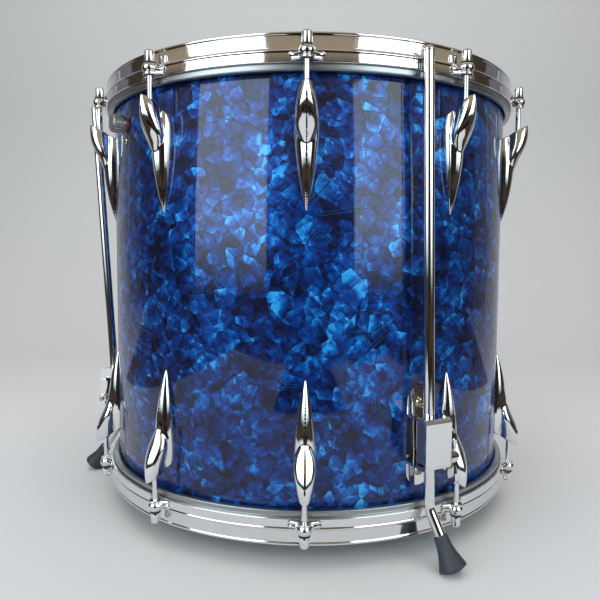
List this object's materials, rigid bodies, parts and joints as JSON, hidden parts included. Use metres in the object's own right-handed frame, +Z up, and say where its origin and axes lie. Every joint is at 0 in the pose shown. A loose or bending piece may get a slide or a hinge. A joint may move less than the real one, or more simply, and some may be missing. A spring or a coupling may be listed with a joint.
{
  "type": "drum on legs",
  "caption": "Large cylindrical drum in blue pearl covering, standing on adjustable bent legs, with cast hoops, tension rods, drop-shaped lugs and an outside damper knob.",
  "frame": {"origin": "on the floor, under the drum's own axis", "axes": "+Z up along the drum's axis, -Y the front of the drum, +X to the right seen from the front"},
  "size_m": [0.535, 0.5096, 0.4711],
  "materials": {
    "wood_shell": "satin",
    "pearl_wrap": "polished pearl",
    "film_coated": "coated",
    "film_clear": "clear",
    "flesh_aluminium": "satin",
    "chrome_cast": "polished",
    "chrome_steel": "polished",
    "brass_nut": "satin",
    "zinc_steel": "plain",
    "rubber_black": "matte",
    "felt": "felt",
    "red_fibre": "fibre"
  },
  "bodies": {
    "shell": {"shell": "wood_shell", "wrap": "pearl_wrap", "head_film_top": "film_coated", "head_film_bottom": "film_clear", "flesh_hoop_top": "flesh_aluminium", "flesh_hoop_bottom": "flesh_aluminium", "hoop_top": "chrome_cast", "hoop_bottom": "chrome_cast", "lugs_top": "chrome_cast", "lugs_bottom": "chrome_cast", "lug_nuts": "brass_nut", "lug_screws": "zinc_steel", "rod_washers": "chrome_steel", "bracket_front": "chrome_steel", "bracket_left": "chrome_steel", "bracket_rear": "chrome_steel", "bracket_screws": "chrome_steel", "bracket_nuts": "zinc_steel", "damper_base": "zinc_steel", "damper_washer": "red_fibre", "damper_screw": "chrome_steel"},
    "tension_rod_top_0": {"rod_top_0": "chrome_steel"},
    "tension_rod_bottom_0": {"rod_bottom_0": "chrome_steel"},
    "tension_rod_top_1": {"rod_top_1": "chrome_steel"},
    "tension_rod_bottom_1": {"rod_bottom_1": "chrome_steel"},
    "tension_rod_top_2": {"rod_top_2": "chrome_steel"},
    "tension_rod_bottom_2": {"rod_bottom_2": "chrome_steel"},
    "tension_rod_top_3": {"rod_top_3": "chrome_steel"},
    "tension_rod_bottom_3": {"rod_bottom_3": "chrome_steel"},
    "tension_rod_top_4": {"rod_top_4": "chrome_steel"},
    "tension_rod_bottom_4": {"rod_bottom_4": "chrome_steel"},
    "tension_rod_top_5": {"rod_top_5": "chrome_steel"},
    "tension_rod_bottom_5": {"rod_bottom_5": "chrome_steel"},
    "tension_rod_top_6": {"rod_top_6": "chrome_steel"},
    "tension_rod_bottom_6": {"rod_bottom_6": "chrome_steel"},
    "tension_rod_top_7": {"rod_top_7": "chrome_steel"},
    "tension_rod_bottom_7": {"rod_bottom_7": "chrome_steel"},
    "tension_rod_top_8": {"rod_top_8": "chrome_steel"},
    "tension_rod_bottom_8": {"rod_bottom_8": "chrome_steel"},
    "tension_rod_top_9": {"rod_top_9": "chrome_steel"},
    "tension_rod_bottom_9": {"rod_bottom_9": "chrome_steel"},
    "jaw_body_front": {"jaw_front": "chrome_steel"},
    "wing_nut_front": {"wing_front": "chrome_steel"},
    "leg_assembly_front": {"leg_front": "chrome_steel", "cap_front": "chrome_steel", "foot_front": "rubber_black"},
    "jaw_body_left": {"jaw_left": "chrome_steel"},
    "wing_nut_left": {"wing_left": "chrome_steel"},
    "leg_assembly_left": {"leg_left": "chrome_steel", "cap_left": "chrome_steel", "foot_left": "rubber_black"},
    "jaw_body_rear": {"jaw_rear": "chrome_steel"},
    "wing_nut_rear": {"wing_rear": "chrome_steel"},
    "leg_assembly_rear": {"leg_rear": "chrome_steel", "cap_rear": "chrome_steel", "foot_rear": "rubber_black"},
    "damper": {"damper_knob": "chrome_steel", "damper_arm": "zinc_steel", "damper_felt": "felt"}
  },
  "joints": [
    {"name": "top_rod_0_turn", "type": "hinge", "parent": "shell", "child": "tension_rod_top_0", "pos_m": [0, -0.2445, 0.4376], "axis": [0, 0, 1], "continuous": true},
    {"name": "bottom_rod_0_turn", "type": "hinge", "parent": "shell", "child": "tension_rod_bottom_0", "pos_m": [0, -0.2445, 0.0576], "axis": [0, 0, 1], "continuous": true},
    {"name": "top_rod_1_turn", "type": "hinge", "parent": "shell", "child": "tension_rod_top_1", "pos_m": [0.14371, -0.19781, 0.4376], "axis": [0, 0, 1], "continuous": true},
    {"name": "bottom_rod_1_turn", "type": "hinge", "parent": "shell", "child": "tension_rod_bottom_1", "pos_m": [0.14371, -0.19781, 0.0576], "axis": [0, 0, 1], "continuous": true},
    {"name": "top_rod_2_turn", "type": "hinge", "parent": "shell", "child": "tension_rod_top_2", "pos_m": [0.23253, -0.07555, 0.4376], "axis": [0, 0, 1], "continuous": true},
    {"name": "bottom_rod_2_turn", "type": "hinge", "parent": "shell", "child": "tension_rod_bottom_2", "pos_m": [0.23253, -0.07555, 0.0576], "axis": [0, 0, 1], "continuous": true},
    {"name": "top_rod_3_turn", "type": "hinge", "parent": "shell", "child": "tension_rod_top_3", "pos_m": [0.23253, 0.07555, 0.4376], "axis": [0, 0, 1], "continuous": true},
    {"name": "bottom_rod_3_turn", "type": "hinge", "parent": "shell", "child": "tension_rod_bottom_3", "pos_m": [0.23253, 0.07555, 0.0576], "axis": [0, 0, 1], "continuous": true},
    {"name": "top_rod_4_turn", "type": "hinge", "parent": "shell", "child": "tension_rod_top_4", "pos_m": [0.14371, 0.19781, 0.4376], "axis": [0, 0, 1], "continuous": true},
    {"name": "bottom_rod_4_turn", "type": "hinge", "parent": "shell", "child": "tension_rod_bottom_4", "pos_m": [0.14371, 0.19781, 0.0576], "axis": [0, 0, 1], "continuous": true},
    {"name": "top_rod_5_turn", "type": "hinge", "parent": "shell", "child": "tension_rod_top_5", "pos_m": [0, 0.2445, 0.4376], "axis": [0, 0, 1], "continuous": true},
    {"name": "bottom_rod_5_turn", "type": "hinge", "parent": "shell", "child": "tension_rod_bottom_5", "pos_m": [0, 0.2445, 0.0576], "axis": [0, 0, 1], "continuous": true},
    {"name": "top_rod_6_turn", "type": "hinge", "parent": "shell", "child": "tension_rod_top_6", "pos_m": [-0.14371, 0.19781, 0.4376], "axis": [0, 0, 1], "continuous": true},
    {"name": "bottom_rod_6_turn", "type": "hinge", "parent": "shell", "child": "tension_rod_bottom_6", "pos_m": [-0.14371, 0.19781, 0.0576], "axis": [0, 0, 1], "continuous": true},
    {"name": "top_rod_7_turn", "type": "hinge", "parent": "shell", "child": "tension_rod_top_7", "pos_m": [-0.23253, 0.07555, 0.4376], "axis": [0, 0, 1], "continuous": true},
    {"name": "bottom_rod_7_turn", "type": "hinge", "parent": "shell", "child": "tension_rod_bottom_7", "pos_m": [-0.23253, 0.07555, 0.0576], "axis": [0, 0, 1], "continuous": true},
    {"name": "top_rod_8_turn", "type": "hinge", "parent": "shell", "child": "tension_rod_top_8", "pos_m": [-0.23253, -0.07555, 0.4376], "axis": [0, 0, 1], "continuous": true},
    {"name": "bottom_rod_8_turn", "type": "hinge", "parent": "shell", "child": "tension_rod_bottom_8", "pos_m": [-0.23253, -0.07555, 0.0576], "axis": [0, 0, 1], "continuous": true},
    {"name": "top_rod_9_turn", "type": "hinge", "parent": "shell", "child": "tension_rod_top_9", "pos_m": [-0.14371, -0.19781, 0.4376], "axis": [0, 0, 1], "continuous": true},
    {"name": "bottom_rod_9_turn", "type": "hinge", "parent": "shell", "child": "tension_rod_bottom_9", "pos_m": [-0.14371, -0.19781, 0.0576], "axis": [0, 0, 1], "continuous": true},
    {"name": "leg_front_slide", "type": "slide", "parent": "shell", "child": "leg_assembly_front", "axis": [-0.0233, -0.0119, 0.9997], "range_m": [-0.15, 0.02]},
    {"name": "wing_nut_front_turn", "type": "hinge", "parent": "shell", "child": "wing_nut_front", "pos_m": [0.1326, -0.21961, 0.1016], "axis": [0.8902, 0.4555, 0], "range_deg": [0, 550]},
    {"name": "jaw_front_release", "type": "slide", "parent": "shell", "child": "jaw_body_front", "axis": [-0.8902, -0.4555, 0], "range_m": [0, 0.0015]},
    {"name": "leg_left_slide", "type": "slide", "parent": "shell", "child": "leg_assembly_left", "axis": [-0.0558, 0.0024, 0.9984], "range_m": [-0.15, 0.02]},
    {"name": "wing_nut_left_turn", "type": "hinge", "parent": "shell", "child": "wing_nut_left", "pos_m": [-0.25874, -0.00672, 0.1016], "axis": [-0.0436, -0.999, 0], "range_deg": [0, 550]},
    {"name": "jaw_left_release", "type": "slide", "parent": "shell", "child": "jaw_body_left", "axis": [0.0436, 0.999, 0], "range_m": [0, 0.0015]},
    {"name": "leg_rear_slide", "type": "slide", "parent": "shell", "child": "leg_assembly_rear", "axis": [-0.003, 0.0172, 0.9998], "range_m": [-0.15, 0.02]},
    {"name": "wing_nut_rear_turn", "type": "hinge", "parent": "shell", "child": "wing_nut_rear", "pos_m": [0.10014, 0.23618, 0.1016], "axis": [-0.891, 0.454, 0], "range_deg": [0, 550]},
    {"name": "jaw_rear_release", "type": "slide", "parent": "shell", "child": "jaw_body_rear", "axis": [0.891, -0.454, 0], "range_m": [0, 0.0015]},
    {"name": "damper_turn", "type": "hinge", "parent": "shell", "child": "damper", "pos_m": [-0.18607, -0.13519, 0.416], "axis": [-0.809, -0.5878, 0], "range_deg": [-15, 6.5]}
  ],
  "couplings": [
    {"joint": "wing_nut_front_turn", "follows": "jaw_front_release", "rad_per_m": 6283.2},
    {"joint": "wing_nut_left_turn", "follows": "jaw_left_release", "rad_per_m": 6283.2},
    {"joint": "wing_nut_rear_turn", "follows": "jaw_rear_release", "rad_per_m": 6283.2}
  ]
}
